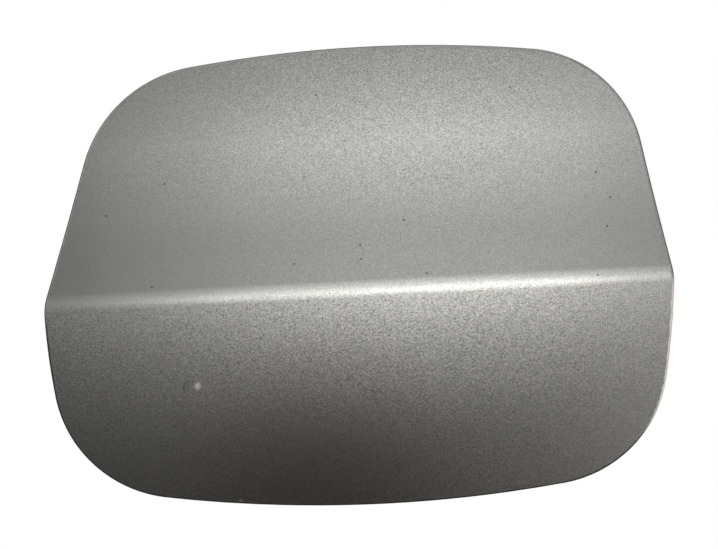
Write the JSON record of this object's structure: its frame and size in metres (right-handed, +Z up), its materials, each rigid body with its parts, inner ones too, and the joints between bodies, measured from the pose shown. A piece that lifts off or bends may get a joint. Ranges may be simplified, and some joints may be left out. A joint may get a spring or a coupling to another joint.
{
  "type": "car fuel door",
  "caption": "Creased steel fuel door with a hemmed skin, a stamped inner pan, a sprung pin hinge on a bolted bracket, a lock eye and a cap cradle.",
  "frame": {"origin": "middle of the hinge bracket's two bolt holes, on its mounting face", "axes": "+X along the door from the hinge side to the lock side, +Y into the car, +Z up"},
  "size_m": [0.1921, 0.047, 0.1412],
  "materials": {
    "silver_paint": "metallic silver grey under clear lacquer",
    "inner_paint": "thin grey paint over primer",
    "sealer": "painted over seam sealer",
    "zinc_steel": "zinc plated",
    "rivet_steel": "plated",
    "coated_steel": "black dip coat",
    "spring_steel": "oiled spring wire",
    "nylon": "natural nylon",
    "black_plastic": "fine moulded grain",
    "rubber": "soft black rubber"
  },
  "bodies": {
    "bracket": {"hinge_bracket": "coated_steel", "hinge_pin": "zinc_steel", "pin_clip": "spring_steel", "spring_guide": "nylon", "return_spring": "spring_steel"},
    "door": {"outer_panel": "silver_paint", "inner_panel": "inner_paint", "seam_sealer": "sealer", "hinge_leaf": "zinc_steel", "leaf_rivets": "rivet_steel", "upper_bush": "nylon", "lower_bush": "nylon", "lock_eye": "zinc_steel", "lock_rivets": "rivet_steel", "upper_buffer": "rubber", "lower_buffer": "rubber", "cap_holder": "black_plastic"}
  },
  "joints": [
    {"name": "door_hinge", "type": "hinge", "parent": "bracket", "child": "door", "pos_m": [-0.02, -0.0285, 0], "axis": [0, 0, -1], "range_deg": [0, 90], "stiffness_Nm_per_rad": 0.08, "springref_deg": -68.75, "deforming": ["return_spring"]}
  ]
}
